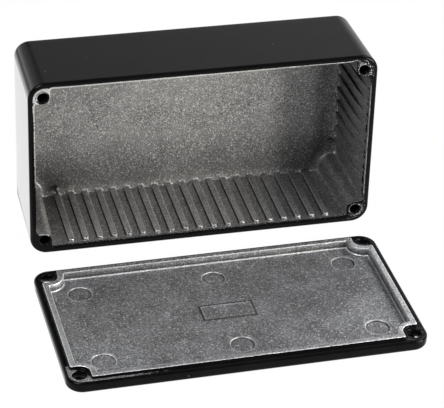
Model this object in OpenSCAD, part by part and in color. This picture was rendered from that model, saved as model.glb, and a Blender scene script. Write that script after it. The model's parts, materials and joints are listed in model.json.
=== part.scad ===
// Die cast aluminium enclosure with its lid taken off.
// The box stands on one long wall with its mouth towards -Y, the lid lies inside up in front of it,
// and the lid's screws stand on their heads behind it. Everything rests on Z = 0.
// The origin is the middle of the wall that the box stands on, and X runs along the box.

/* [Box] */
// Outside length of the box at its rim
box_length = 121; // [100:0.5:160]
// Outside width of the box at its rim
box_width = 66; // [56:0.5:100]
// Depth of the box from its rim to the outside of its base
body_depth = 35.3; // [24:0.1:56]
// Thickness of the side walls
wall = 2.2; // [1.6:0.1:3]
// Thickness of the base
base_thickness = 2.2; // [1.6:0.1:4]
// Draft of every cast wall, in degrees
draft = 1; // [0.5:0.1:2]
// Outside radius of the upright corners at the rim
corner_r = 6; // [5.2:0.1:8]
// Rounding between the walls and the base, outside
base_edge_r = 3; // [1:0.1:4]
// Rounding between the walls and the base, inside
cavity_edge_r = 1; // [0.4:0.1:1.4]
// Rounding of the rim's outer edge
rim_edge_r = 1; // [0.3:0.1:1.4]

/* [Card guides] */
// Pitch of the ribs that guide a card
rib_pitch = 5.08; // [4:0.02:8]
// Width of a rib
rib_w = 2.4; // [1:0.1:3]
// Height of a rib above its wall
rib_h = 1; // [0.6:0.1:2.4]
// Distance from the rim to a rib's nose
rib_stop = 2; // [1.4:0.1:6]
// Least distance from a corner's outside to the middle of a rib
rib_margin = 14.5; // [13:0.5:20]

/* [Screw pillars] */
// Distance of a screw hole from the outside of the short wall
hole_inset_x = 5; // [4.6:0.1:6]
// Distance of a screw hole from the outside of the long wall
hole_inset_y = 5.3; // [4.6:0.1:6]
// Radius of a pillar at the rim
pillar_r = 3.1; // [2.6:0.1:4]
// Draft of the pillars, in degrees
pillar_draft = 1.6; // [0.5:0.1:2.5]
// Radius of the tapped hole's wall
tap_r = 1.65; // [1.2:0.05:1.9]
// Depth of the tapped hole's straight wall
tap_depth = 16; // [10:0.5:19]
// Width of the chamfer at the hole's mouth
tap_mouth = 0.5; // [0.2:0.1:0.6]

/* [Lid] */
// How far the lid's edge lies inside the box's rim
lid_shy = 0.4; // [0:0.1:1]
// Thickness of the lid's flange
flange_t = 4; // [3.2:0.1:6]
// Thickness of the lid's floor
lid_floor_t = 2; // [1.4:0.1:2.8]
// Rounding of the lid's outer face edge
lid_face_r = 1.5; // [0.4:0.1:2]
// Rounding of the flange's upper edge
flange_edge_r = 0.8; // [0.2:0.1:1]
// Height of the lip above the flange
lip_h = 1; // [0.6:0.1:1.3]
// Thickness of the lip
lip_t = 2; // [1.2:0.1:2.6]
// Gap between the lip and the box's walls and pillars when the lid is on
lip_gap = 0.4; // [0.2:0.05:0.8]
// Radius of a lid screw hole
lid_hole_r = 2.25; // [2.1:0.05:2.6]
// Diameter of the round pin marks on the lid's floor
mark_d = 7.8; // [4:0.1:10]
// Depth of the round pin marks
mark_depth = 0.35; // [0.2:0.05:0.6]
// Distance between neighbouring pin marks along the lid
mark_pitch_x = 46; // [30:0.5:47]
// Distance between the two rows of pin marks
mark_pitch_y = 38.6; // [24:0.2:40]
// Length of the frame in the middle of the lid's floor
frame_length = 18.8; // [10:0.2:40]
// Width of that frame
frame_width = 8.6; // [5:0.2:16]
// Width of the frame's line
frame_line = 0.6; // [0.4:0.1:1.2]
// Height of the frame's line
frame_h = 0.3; // [0.2:0.05:0.6]

/* [Screws] */
// Radius of a screw's shank
screw_r = 1.95; // [1.4:0.05:2]
// Length of a screw, head and all
screw_length = 12; // [8:0.5:18]
// Radius of the countersunk head
head_r = 3.7; // [3.2:0.05:4]
// Height of the head's straight edge
head_edge = 0.3; // [0.1:0.1:0.6]
// Clearance of the head in the lid's countersink
head_gap = 0.2; // [0.1:0.05:0.4]
// Radius of the cross recess in the head
recess_r = 2.1; // [1.4:0.1:2.4]
// Width of the recess's arms
recess_w = 0.9; // [0.6:0.1:1.2]
// Depth of the recess
recess_depth = 2; // [1:0.1:2.4]

/* [Layout] */
// Gap on the floor between the box's rim and the lid
lid_distance = 15.4; // [12:0.1:40]
// How far the lid lies to the left of the box's middle
lid_shift = 2.5; // [0:0.1:10]
// How far the lid is turned from square, in degrees
lid_turn = 0.85; // [0:0.05:5]
// Gap on the floor between the box's base and the screws' axes
screw_distance = 20; // [12:0.5:40]
// Distance between the screws as they stand
screw_spacing = 11; // [9:0.5:20]

/* [Hidden] */
$fn = 64;

paint = [0.06, 0.06, 0.065];
bare_metal = [0.62, 0.62, 0.61];
steel = [0.7, 0.71, 0.73];

// Cuts run this far past the faces that they open
over = 1;
// Straight steps in a rounded edge
arc_steps = 8;
// Angle of a drill's point
drill_point = 118;
// Steps in a millimetre that radii are kept to
snaps = 10000;

core_x = box_length / 2 - corner_r;
core_y = box_width / 2 - corner_r;
hole_x = box_length / 2 - hole_inset_x;
hole_y = box_width / 2 - hole_inset_y;
cavity_x = box_length / 2 - wall;
cavity_y = box_width / 2 - wall;
lid_length = box_length - 2 * lid_shy;
lid_width = box_width - 2 * lid_shy;
lip_x = cavity_x - lip_gap;
lip_y = cavity_y - lip_gap;
notch_r = pillar_r + lip_gap;
head_cone = head_r - screw_r;
sink_r = head_r + head_gap;

// The wall that the box stands on leans by the draft, so the box leans back to lie flat on it
stand_z = box_width / 2 * cos(draft) - body_depth * sin(draft);
wall_run = body_depth / cos(draft);
stand_y = box_width / 2 * sin(draft) + body_depth * cos(draft) - wall_run / 2;
lid_y = -wall_run / 2 - lid_distance - lid_width / 2;
screw_y = wall_run / 2 + screw_distance;
screw_count = 4;
corners = [[1, 1], [-1, 1], [-1, -1], [1, -1]];

// Points of a circle's arc from angle a0 to angle a1
function arc(centre, r, a0, a1) =
    [for (i = [0:arc_steps]) let (a = a0 + (a1 - a0) * i / arc_steps) centre + r * [cos(a), sin(a)]];

// The side of a cast block as [radius, height] points, from its foot up to its rim.
// The radius falls from rim_r by the draft, and both edges are rounded where they have a radius.
function side_radius(rim_r, rim_z, z) = rim_r - (rim_z - z) * tan(draft);
function foot_arc(rim_r, rim_z, foot_z, r) =
    arc([side_radius(rim_r, rim_z, foot_z + r) - r / cos(draft), foot_z + r], r, -90, -draft);
function rim_arc(rim_r, rim_z, r) =
    r == 0 ? [[rim_r, rim_z]]
           : arc([side_radius(rim_r, rim_z, rim_z - r) - r / cos(draft), rim_z - r], r, -draft, 90);
// Radii are kept to a tenth of a micron, so that the straight walls meet the round corners exactly.
function snapped(length) = round(length * snaps) / snaps;
function block_side(rim_r, foot_z, rim_z, foot_r, top_r) =
    [for (p = concat(foot_arc(rim_r, rim_z, foot_z, foot_r), rim_arc(rim_r, rim_z, top_r)))
        [snapped(p[0]), p[1]]];

function mirrored(points) = [for (i = [len(points) - 1:-1:0]) [-points[i][0], points[i][1]]];
function pushed(points, by) = [for (p = points) [p[0] + by, p[1]]];

// A drafted block with rounded corners on axes at half_x and half_y, from a list of side points
module cast_block(side, half_x, half_y) {
    foot_z = side[0][1];
    rim_z = side[len(side) - 1][1];
    section_x = pushed(side, half_x);
    section_y = pushed(side, half_y);
    rotate([90, 0, 0]) linear_extrude(2 * half_y, center = true)
        polygon(concat(section_x, mirrored(section_x)));
    rotate([90, 0, 90]) linear_extrude(2 * half_x, center = true)
        polygon(concat(section_y, mirrored(section_y)));
    for (i = [0:3])
        translate([corners[i][0] * half_x, corners[i][1] * half_y, 0]) rotate(90 * i)
            rotate_extrude(angle = 90) polygon(concat([[0, rim_z], [0, foot_z]], side));
}

// Runs its children at each screw hole, turned so that the box's corner is towards +X and +Y
module at_holes() {
    for (c = corners)
        translate([c[0] * hole_x, c[1] * hole_y, 0])
            mirror([c[0] < 0 ? 1 : 0, 0, 0]) mirror([0, c[1] < 0 ? 1 : 0, 0]) children();
}

// Plan of a corner pillar round a screw hole, running out square to both walls
module pillar_plan(r) {
    reach = corner_r + over;
    circle(r);
    translate([0, -r]) square([reach, r + reach]);
    translate([-r, 0]) square([reach + r, reach]);
}

// A pillar is a drafted cone, with a drafted web to each of the two walls
module pillar() {
    foot_r = pillar_r + body_depth * tan(pillar_draft);
    reach = corner_r + over;
    web = [[-foot_r, 0], [reach, 0], [reach, body_depth], [-pillar_r, body_depth]];
    cylinder(h = body_depth, r1 = foot_r, r2 = pillar_r);
    rotate([90, 0, 90]) linear_extrude(reach) polygon(web);
    rotate([90, 0, 0]) translate([0, 0, -reach]) linear_extrude(reach) polygon(web);
}

// A card guide on a wall that faces -Y, with its nose up and its foot in the base
module rib() {
    nose_z = -rib_stop - rib_w / 2;
    rotate([90, 0, 0]) translate([0, 0, -wall / 2]) linear_extrude(rib_h + wall / 2) {
        translate([0, nose_z]) circle(d = rib_w);
        translate([-rib_w / 2, -body_depth]) square([rib_w, body_depth + nose_z]);
    }
}

// The row of ribs on the two walls that face each other across the cavity
module rib_rows(wall_length, half_gap) {
    count = floor((wall_length - 2 * rib_margin) / rib_pitch) + 1;
    for (turn = [0, 180], i = [0:count - 1])
        rotate(turn) translate([(i - (count - 1) / 2) * rib_pitch, half_gap, body_depth])
            rotate([-draft, 0, 0]) rib();
}

module cavity() {
    top = body_depth + over;
    side = block_side(corner_r - wall + over * tan(draft), base_thickness, top, cavity_edge_r, 0);
    difference() {
        cast_block(side, core_x, core_y);
        at_holes() pillar();
        rib_rows(box_length, cavity_y);
        rotate(90) rib_rows(box_width, cavity_x);
    }
}

// A tapped hole in a pillar, with a chamfered mouth and the drill's pointed end
module tapped_hole() {
    tip = tap_r / tan(drill_point / 2);
    translate([0, 0, body_depth - tap_depth]) cylinder(h = tap_depth + over, r = tap_r);
    translate([0, 0, body_depth - tap_mouth])
        cylinder(h = tap_mouth + over, r1 = tap_r, r2 = tap_r + tap_mouth + over);
    translate([0, 0, body_depth - tap_depth - tip]) cylinder(h = tip, r1 = 0, r2 = tap_r);
}

// The box in its own frame, standing on its base with its mouth up
module box() {
    difference() {
        cast_block(block_side(corner_r, 0, body_depth, base_edge_r, rim_edge_r), core_x, core_y);
        cavity();
        at_holes() tapped_hole();
    }
}

module enclosure_body() {
    color(paint) translate([0, stand_y, stand_z]) rotate([90 - draft, 0, 0]) box();
}

// Outline of the lip, or of the floor inside it: a rectangle with a notch round each screw hole
module notched_plan(half_x, half_y, r) {
    difference() {
        square([2 * half_x, 2 * half_y], center = true);
        at_holes() pillar_plan(r);
    }
}

// A screw hole through the lid, countersunk from the outer face
module lid_hole() {
    sink = sink_r - lid_hole_r;
    translate([0, 0, -over]) cylinder(h = flange_t + 2 * over, r = lid_hole_r);
    translate([0, 0, -over]) cylinder(h = sink + over, r1 = sink_r + over, r2 = lid_hole_r);
}

module pin_marks() {
    for (i = [-1:1], j = [-0.5, 0.5])
        translate([i * mark_pitch_x, j * mark_pitch_y, lid_floor_t - mark_depth])
            cylinder(h = mark_depth + over, d = mark_d);
}

module floor_frame() {
    translate([0, 0, lid_floor_t - over]) linear_extrude(over + frame_h) difference() {
        square([frame_length, frame_width], center = true);
        square([frame_length - 2 * frame_line, frame_width - 2 * frame_line], center = true);
    }
}

// The lid in its own frame, on its outer face with its lip up
module lid() {
    edge_r = corner_r - lid_shy;
    difference() {
        union() {
            cast_block(block_side(edge_r, 0, flange_t, lid_face_r, flange_edge_r), core_x, core_y);
            translate([0, 0, lid_floor_t]) linear_extrude(flange_t - lid_floor_t + lip_h)
                notched_plan(lip_x, lip_y, notch_r);
        }
        translate([0, 0, lid_floor_t]) linear_extrude(flange_t + lip_h)
            notched_plan(lip_x - lip_t, lip_y - lip_t, notch_r + lip_t);
        pin_marks();
        at_holes() lid_hole();
    }
    floor_frame();
}

module enclosure_lid() {
    color(bare_metal) translate([-lid_shift, lid_y, 0]) rotate(lid_turn) lid();
}

// A countersunk screw on its head, with its cross recess in the face that it stands on
module screw() {
    difference() {
        union() {
            cylinder(h = head_edge, r = head_r);
            translate([0, 0, head_edge]) cylinder(h = head_cone, r1 = head_r, r2 = screw_r);
            translate([0, 0, head_edge]) cylinder(h = screw_length - head_edge, r = screw_r);
        }
        intersection() {
            union() {
                cube([2 * recess_r, recess_w, 2 * recess_depth], center = true);
                cube([recess_w, 2 * recess_r, 2 * recess_depth], center = true);
            }
            cylinder(h = recess_depth, r1 = recess_r, r2 = recess_w / 2);
        }
    }
}

module lid_screws() {
    color(steel) for (i = [0:screw_count - 1])
        translate([(i - (screw_count - 1) / 2) * screw_spacing, screw_y, 0]) screw();
}

enclosure_body();
enclosure_lid();
lid_screws();
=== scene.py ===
# %% [markdown]
# # A die cast aluminium enclosure with its lid off
# The object is two aluminium castings and four screws. The box is black outside and bare inside, and the
# lid lies in front of it with its bare side up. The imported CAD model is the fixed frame: it gives the size
# and place of every piece. This lesson draws each casting again as a fine surface with the soft edges that
# a mould leaves, and gives it a finish that shows where the paint stops and the bare metal starts.

# %% Load the frame
import json

import bpy
import numpy as np
from mathutils import Matrix, Vector


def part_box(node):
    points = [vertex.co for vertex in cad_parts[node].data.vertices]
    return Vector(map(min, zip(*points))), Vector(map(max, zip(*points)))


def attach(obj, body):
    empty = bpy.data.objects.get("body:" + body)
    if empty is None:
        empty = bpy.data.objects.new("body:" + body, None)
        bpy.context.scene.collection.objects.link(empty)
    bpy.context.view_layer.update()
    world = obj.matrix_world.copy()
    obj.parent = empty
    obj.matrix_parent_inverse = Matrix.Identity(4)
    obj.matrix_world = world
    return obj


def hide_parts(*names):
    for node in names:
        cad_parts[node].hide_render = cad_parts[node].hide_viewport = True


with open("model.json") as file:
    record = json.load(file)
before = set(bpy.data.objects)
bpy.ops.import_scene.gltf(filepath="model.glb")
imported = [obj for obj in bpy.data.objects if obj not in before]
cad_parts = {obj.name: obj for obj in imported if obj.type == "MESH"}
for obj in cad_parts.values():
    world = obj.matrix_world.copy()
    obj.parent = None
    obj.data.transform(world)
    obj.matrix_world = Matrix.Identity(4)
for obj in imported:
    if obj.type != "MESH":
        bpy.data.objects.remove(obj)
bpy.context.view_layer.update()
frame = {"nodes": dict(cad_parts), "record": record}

# %% [markdown]
# The mounts in the record say where the screw holes are and which way they point. They give each casting
# its own frame: x along the casting, z out of its hollow side. There it is drawn in millimetres, and one
# matrix product puts it back into the shared frame.

# %% Read places and sizes from the frame
MM = 0.001
mounts = {mount["name"]: mount for mount in frame["record"]["mounts"]}


def mount_place(name):
    """A mount's place in the shared frame, in millimetres."""
    return np.array(mounts[name]["pos_m"]) / MM


def casting_frame(node, face, left_hole, right_hole):
    """A casting's origin, its axes as rows and how far its CAD node reaches along them, in millimetres. Its
    origin lies on its closed face, x runs from hole to hole and z points out of its hollow side."""
    origin, out = mount_place(face), -np.array(mounts[face]["axis"])
    x = mount_place(right_hole) - mount_place(left_hole)
    x /= np.linalg.norm(x)
    axes = np.array([x, np.cross(out, x), out])
    mesh = frame["nodes"][node].data
    points = np.empty(len(mesh.vertices) * 3, np.float32)
    mesh.vertices.foreach_get("co", points)
    return origin, axes, ((points.reshape(-1, 3) / MM - origin) @ axes.T).max(axis=0)


box_origin, box_axes, box_reach = casting_frame(
    "enclosure_body", "base_face", "tapped_hole_upper_left", "tapped_hole_upper_right")
lid_origin, lid_axes, lid_reach = casting_frame(
    "enclosure_lid", "lid_outer_face", "lid_hole_back_left", "lid_hole_back_right")
hole = np.abs((mount_place("tapped_hole_upper_right") - box_origin) @ box_axes.T)[:2]
print("box reaches", box_reach.round(2), "lid reaches", lid_reach.round(2), "screw hole at", hole.round(2))

# %% [markdown]
# Every piece is a quilt of grids. A grid is an array of points, rows by columns, so a whole wall or a ring
# of fillets is one numpy expression. The castings are the same in all four quarters, so one quarter is
# worked out and mirrored. Points that fall together are sewn into one vertex, which closes the surface.
# Blender could do this with a Mirror modifier and Merge by Distance, but numpy also lets each point carry a
# number: how far it lies from the edge of the paint.

# %% A quilt of grids
SEAM = 1e-4
QUARTERS = [(1, 1), (-1, 1), (-1, -1), (1, -1)]
WHOLE = [(1, 1)]


class Quilt:
    """Grids of points in millimetres, sewn into one mesh. Each point carries a paint value."""

    def __init__(self):
        self.points, self.faces, self.paint, self.count = [], [], [], 0

    def add(self, grid, paint=0.0, ring=False, quarters=QUARTERS):
        """Adds a grid once for each quarter that it is mirrored into. A ring joins its last column to its
        first one."""
        rows, cols = grid.shape[:2]
        cells = np.arange(rows * cols).reshape(rows, cols)
        if ring:
            cells = np.concatenate([cells, cells[:, :1]], axis=1)
        quads = np.stack([cells[:-1, :-1], cells[:-1, 1:], cells[1:, 1:], cells[1:, :-1]], axis=-1)
        quads = quads.reshape(-1, 4)
        for side_x, side_y in quarters:
            self.points.append((grid * [side_x, side_y, 1]).reshape(-1, 3))
            self.faces.append(self.count + (quads if side_x * side_y > 0 else quads[:, ::-1]))
            self.paint.append(np.broadcast_to(paint, (rows, cols)).ravel())
            self.count += rows * cols

    def sewn(self):
        """Points, paint values, face corners and corner counts, with points that fall together merged."""
        points = np.concatenate(self.points)
        keys = np.round(points / SEAM).astype(np.int64)
        _, first, merged = np.unique(keys, axis=0, return_index=True, return_inverse=True)
        quads = merged.ravel()[np.concatenate(self.faces)]
        real = quads != np.roll(quads, 1, axis=1)
        whole = real.sum(axis=1) > 2
        paint = np.concatenate(self.paint)[first]
        return points[first], paint, quads[whole][real[whole]], real[whole].sum(axis=1)


# %% [markdown]
# A sewn quilt becomes a mesh through arrays, each set in one call. The Weighted Normal modifier lets large
# flat faces keep their direction, so that only the rounded edges shade softly.

# %% From a quilt to a piece
FLAT_WEIGHT = 50


def open_edges(corners, counts):
    """How many edges don't belong to exactly two faces."""
    starts = np.concatenate([[0], np.cumsum(counts)[:-1]])
    following = np.arange(1, len(corners) + 1)
    following[starts + counts - 1] = starts
    edges = np.sort(np.stack([corners, corners[following]], axis=1), axis=1)
    return int((np.unique(edges, axis=0, return_counts=True)[1] != 2).sum())


def make_piece(name, points, corners, counts, origin, axes, values=()):
    """A mesh object in the shared frame, with smooth faces and with named values on its points."""
    mesh = bpy.data.meshes.new(name)
    mesh.vertices.add(len(points))
    mesh.loops.add(len(corners))
    mesh.polygons.add(len(counts))
    placed = (points @ axes + origin) * MM
    mesh.vertices.foreach_set("co", placed.astype(np.float32).ravel())
    mesh.loops.foreach_set("vertex_index", corners.astype(np.int32))
    mesh.polygons.foreach_set("loop_start", np.concatenate([[0], np.cumsum(counts)[:-1]]).astype(np.int32))
    mesh.polygons.foreach_set("use_smooth", np.ones(len(counts), bool))
    mesh.update(calc_edges=True)
    for key, value in dict(values).items():
        mesh.attributes.new(key, "FLOAT", "POINT").data.foreach_set("value", value.astype(np.float32))
    piece = bpy.data.objects.new(name, mesh)
    bpy.context.scene.collection.objects.link(piece)
    piece.modifiers.new("flat_faces_stay_flat", "WEIGHTED_NORMAL").weight = FLAT_WEIGHT
    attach(piece, "root")
    triangles = int((counts - 2).sum())
    print(f"{name}: {len(points)} points, {triangles} triangles, {open_edges(corners, counts)} open edges")
    return piece


# %% [markdown]
# A few curves come back again and again: a smooth step, a span of numbers, and the arc that rounds an edge.
# A section is a list of insets and heights: how far inside the outline the surface lies at each height.
# Carrying it round the outline gives the whole wall at once.

# %% Small curves
DEGREE = np.pi / 180


def smooth(t):
    """Runs from 0 to 1 with flat ends: t squared times 3 minus 2 t, held at its ends."""
    t = np.clip(t, 0, 1)
    return t * t * (3 - 2 * t)


def rising(value, start, end):
    """A smooth step over values: 0 up to start, 1 from end on."""
    return smooth((value - start) / (end - start))


def falling(value, start, end):
    """The same step turned round: 1 up to start, 0 from end on."""
    return 1 - rising(value, start, end)


def span(start, end, count, ends=True):
    """Evenly spaced numbers from start to end. Without ends, only those in between."""
    numbers = np.linspace(start, end, count if ends else count + 2)
    return numbers if ends else numbers[1:-1]


def on_circle(x, y, radius, angle):
    """Points on a circle, as two arrays: x plus radius times the cosine, y plus radius times the sine."""
    return x + radius * np.cos(angle), y + radius * np.sin(angle)


def arc(centre, radius, start, end, count):
    """Points of an arc between two angles in degrees."""
    return on_circle(*centre, radius, span(start, end, count) * DEGREE)


def section(*strokes):
    """Strokes of a section, each a pair of arrays of insets and heights, joined end to end."""
    return tuple(np.concatenate([stroke[i] for stroke in strokes]) for i in (0, 1))


def column(numbers):
    """Numbers as one value for each ring, to be set against the points along a ring."""
    return np.asarray(numbers, float)[:, None]


# %% [markdown]
# The outside of both castings is a rectangle with round corners. Inside, a pillar for each screw stands in
# the corners: the outline runs out square to both walls and goes round the hole in an arc. The lip of the
# lid has that same outline, a little smaller, so that it plugs into the box.

# %% Outlines of one quarter
FILLET_POINTS, WEB_POINTS, ARC_POINTS = 4, 2, 14
CORNER_POINTS = 2 * FILLET_POINTS + 2 * WEB_POINTS + ARC_POINTS


def joined(z, *stretches):
    """Stretches of an outline, each a pair of arrays, joined and lifted: rings by points by 3."""
    return np.concatenate([np.stack(np.broadcast_arrays(x, y, z), axis=-1) for x, y in stretches], axis=1)


def pillar_outline(z, half_x, half_y, radius, fillet, short_run, long_run):
    """One quarter of a rectangle with a pillar in its corner, from the middle of the short side to that of
    the long side. A run holds places along a side and how far the outline stands in there."""
    quarter = span(0, 90, FILLET_POINTS)[None] * DEGREE
    round_hole = span(270, 180, ARC_POINTS)[None] * DEGREE
    along_web = span(0, 1, WEB_POINTS, ends=False)[None]
    low, left = hole[1] - radius, hole[0] - radius
    return joined(
        z, (half_x - short_run[1], short_run[0]),
        on_circle(half_x - fillet, low - fillet, fillet, quarter),
        (half_x - fillet + (hole[0] - half_x + fillet) * along_web, low),
        on_circle(*hole, radius, round_hole),
        (left, hole[1] + (half_y - fillet - hole[1]) * along_web),
        on_circle(left - fillet, half_y - fillet, fillet, quarter),
        (long_run[0][..., ::-1], half_y - long_run[1][..., ::-1]))


def round_outline(z, half_x, half_y, radius, short_run, long_run, inner):
    """One quarter of a rectangle with a round corner, point for point beside the outline with a pillar that
    lies inside it."""
    turn = span(0, 90, CORNER_POINTS - 2 * FILLET_POINTS)[None] * DEGREE
    before = span(0, 1, FILLET_POINTS + 1)[None, :-1]
    core_x, core_y, count = half_x - radius, half_y - radius, short_run.shape[1]
    low, left = inner[0, count, 1], inner[0, count + CORNER_POINTS - 1, 0]
    return joined(
        z, (half_x, short_run),
        (half_x, low + (core_y - low) * before),
        on_circle(core_x, core_y, radius, turn),
        (left + (core_x - left) * before[:, ::-1], half_y),
        (long_run[..., ::-1], half_y))


# %% [markdown]
# The base of the box and the outer face of the lid are flat sheets inside such an outline. The corner is
# first cut off straight, and then all points run towards a spine along the middle line, where the mirrored
# quarters meet.

# %% A flat sheet inside an outline
SHEET_ROWS = 7
CUT_INSET_X, CUT_INSET_Y = 3.5, 1.7


def flat_sheet(ring, short_points):
    """Rows from a ring of one quarter to one cut straight across the corner, and on to a spine along x."""
    straight = ring.copy()
    straight[:, 0] = np.minimum(ring[:, 0], hole[0] - CUT_INSET_X)
    straight[:, 1] = np.minimum(ring[:, 1], hole[1] - CUT_INSET_Y)
    before, after = short_points - 1, short_points + CORNER_POINTS
    share = span(0, 1, CORNER_POINTS)[:, None]
    straight[before + 1:after] = straight[before] * (1 - share) + straight[after] * share
    spine = straight.copy()
    spine[:, 0] = np.minimum(straight[:, 0], straight[after, 0])
    spine[:, 1] = 0
    share = span(0, 1, SHEET_ROWS)[:, None, None]
    return np.concatenate([ring[None], straight * (1 - share) + spine * share])


# %% [markdown]
# The land round a screw hole lies between two of these outlines. A square grid can't hold a round hole, so
# the land is a ring of its own: it changes ring by ring from its border to the hole.

# %% A land round a screw hole
CORNER_START = FILLET_POINTS - 1
CORNER_END = CORNER_POINTS - FILLET_POINTS
LAND_STEPS = 7
LAND_ACROSS = np.array([0, 0.2, 0.7, 1])[:, None, None]


def bored(angle, radius, z):
    """Rings of a round hole: radius and z hold one value a ring, or rings by points for a thread."""
    radius, z, angle = np.broadcast_arrays(radius, z, angle[None])
    return np.stack([*on_circle(*hole, radius, angle), z], axis=-1)


def add_land(quilt, outer, inner, short_points, radius, paint=0.0, step=1):
    """Adds the land between two rings of one quarter, and the strips along its sides. Its rings are border
    times 1 - t plus circle times t, and radius follows the border's heights. A step of -1 flips faces."""
    first, last = short_points + CORNER_START, short_points + CORNER_END
    across = outer * (1 - LAND_ACROSS) + inner * LAND_ACROSS
    border = np.concatenate([across[0, first:last + 1], across[1:-1, last],
                             across[-1, first:last + 1][::-1], across[1:-1, first][::-1]])
    spoke = border[:, :2] - hole
    angle = np.unwrap(np.arctan2(spoke[:, 1], spoke[:, 0]))
    even = angle[0] + np.arange(len(angle)) * 2 * np.pi / len(angle)
    angle = (angle + even) / 2
    circle = bored(angle, radius(border[:, 2]), border[:, 2])[0]
    share = span(0, 1, LAND_STEPS)[:, None, None]
    rings = border * (1 - share) + circle * share
    quilt.add(across[::step, :first + 1], paint)
    quilt.add(across[::step, last:], paint)
    quilt.add(rings[::step], paint, ring=True)
    return rings, angle


# %% [markdown]
# Ribs on the inside walls guide circuit cards. A rib is a low ridge with sloping sides, a soft foot and
# rounded edges, worked out once as half a profile. On the long walls a rib ends in a round nose: the
# profile turned about a point near the front end. On the short walls it runs out in a long ramp.

# %% Card guide ribs
wall = 2.2
draft = 1 * DEGREE
rib_pitch, rib_margin, rib_stop = 5.08, 14.5, 2.0
rib_h, rib_top, rib_foot = 1.0, 2.0, 2.7
rib_edge_r, rib_foot_r, rib_ramp = 0.28, 0.3, 11.0


def half_rib():
    """Half a rib, from its middle: a flat top, a round edge, a sloping flank and a hollow foot."""
    slope = np.arctan2(rib_foot - rib_top, 2 * rib_h)
    reach = np.tan((np.pi / 2 - slope) / 2)
    edge = arc((rib_top / 2 - rib_edge_r * reach, rib_h - rib_edge_r), rib_edge_r, 90, slope / DEGREE, 5)
    foot = arc((rib_foot / 2 + rib_foot_r * reach, rib_foot_r), rib_foot_r, 180 + slope / DEGREE, 270, 4)
    flat = span(0, edge[0][0], 4)[:-1]
    return section((flat, rib_h + 0 * flat), edge, foot)


def rib_count(half_length):
    """How many ribs a wall has between its margins."""
    return int((2 * half_length - 2 * rib_margin) / rib_pitch) + 1


def ribbed_run(half_length, ahead, ramp=1.0):
    """Places along half a side, from its middle, and the ribs' height there. ahead is how far each ring
    lies in front of the point that the noses turn about, and ramp lowers the ribs ring by ring."""
    count = rib_count(half_length)
    across, rise = half_rib()
    whole = np.concatenate([-across[:0:-1], across, [rib_pitch / 2]])
    height = np.interp(np.hypot(whole, ahead), across, rise, right=0.0) * ramp
    middles = (np.arange(count) - (count - 1) / 2)[count // 2:, None] * rib_pitch
    places = (middles + whole).reshape(1, -1)
    heights = np.tile(height, (1, len(middles)))
    if count % 2:
        return places[:, len(across) - 1:], heights[:, len(across) - 1:]
    return np.pad(places, ((0, 0), (1, 0))), np.pad(heights, ((0, 0), (1, 0)))


print("ribs on a long wall:", rib_count(box_reach[0]), "and on a short wall:", rib_count(box_reach[1]))

# %% [markdown]
# The section of the box has two strokes. The outer one turns up from the base round its soft edge and
# climbs the drafted wall to the rounded rim. The inner one starts at the rim's inner edge, passes the noses
# of the ribs, where its rings lie close together, and turns into the base with a fillet.

# %% Section of the box
depth = box_reach[2]
corner_r, base_edge_r, rim_edge_r = 6.0, 3.0, 1.0
base_t, base_fillet, inner_edge_r = 2.2, 0.7, 0.35
pillar_r, pillar_draft, pillar_fillet = 2.5, 2.7 * DEGREE, 0.9
half_x, half_y = box_reach[:2] + rim_edge_r * np.tan(draft)
nose_z = depth - rib_stop - rib_foot / 2
base_edge_rings, rim_edge_rings = 9, 10
low_climb, high_climb = span(2 * base_edge_r, depth - 5 * rim_edge_r, 4), depth - np.array([2.5, 1.5])
box_climb = np.concatenate([low_climb, high_climb])
NOSE_RINGS = np.array([1.75, 1.56, 1.42, 1.3, 1.2, 1.1, 1.0, 0.88, 0.75, 0.55, 0.28, 0])


def outer_section(top, face_r, rim_r, climb, face_rings, rim_rings):
    """Inset and height of a drafted outside: from a flat face round its soft edge, up the wall by a list of
    heights, and over the rim to its flat."""
    foot = arc((face_r / np.cos(draft), face_r), face_r, 270, 180 + draft / DEGREE, face_rings)
    rim = arc((rim_r, top - rim_r), rim_r, 180, 90, rim_rings)
    inset, height = section(foot, (0 * climb, climb), rim)
    inset += (top - np.clip(height, face_r, top - rim_r)) * np.tan(draft)
    return inset, height


def box_inner_section():
    """Inset from the drafted wall and height of the inside, from the rim's flat to the base's flat."""
    edge = arc((-inner_edge_r, depth - inner_edge_r), inner_edge_r, 90, 0, 5)
    run = np.concatenate([[depth - 0.9], nose_z + NOSE_RINGS, span(nose_z, base_t + base_fillet, 10)[1:-1]])
    foot = arc((base_fillet, base_t + base_fillet), base_fillet, 180, 270, 7)
    return section(edge, (0 * run, run), foot)


# %% [markdown]
# The screw holes are drilled and tapped: a small chamfer, a thread, a plain bore and the cone that the
# drill leaves. Short oval stubs stand on the inner base, at the back ends of the outermost ribs.

# %% Tapped holes and stubs
tap_r, tap_mouth, tap_depth, drill_point = 1.65, 0.35, 16.0, 118 * DEGREE
thread_pitch, thread_height, thread_run, thread_rings = 0.7, 0.22, 8.0, 6
mouth_r = tap_r + tap_mouth
stub_width, stub_length, stub_inset = 0.8, 1.6, 1.4
STUB_RADIUS = [0, 1, 0.98, 0.93, 0.85, 0.7, 0.45, 0.2, 0]
STUB_RISE = [-0.4, -0.4, 0.5, 1.1, 1.5, 1.75, 1.9, 1.97, 2.0]


def thread(z, angle, height):
    """A ridge that climbs one pitch a turn and fades at both ends: a triangle wave with its crest and root
    cut flat."""
    wave = np.abs((z / thread_pitch - angle / (2 * np.pi)) % 1 * 2 - 1)
    fade = smooth((z - z.min()) / thread_pitch) * smooth((z.max() - z) / thread_pitch)
    return height * np.clip((wave - 0.15) / 0.7, 0, 1) * fade


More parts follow.
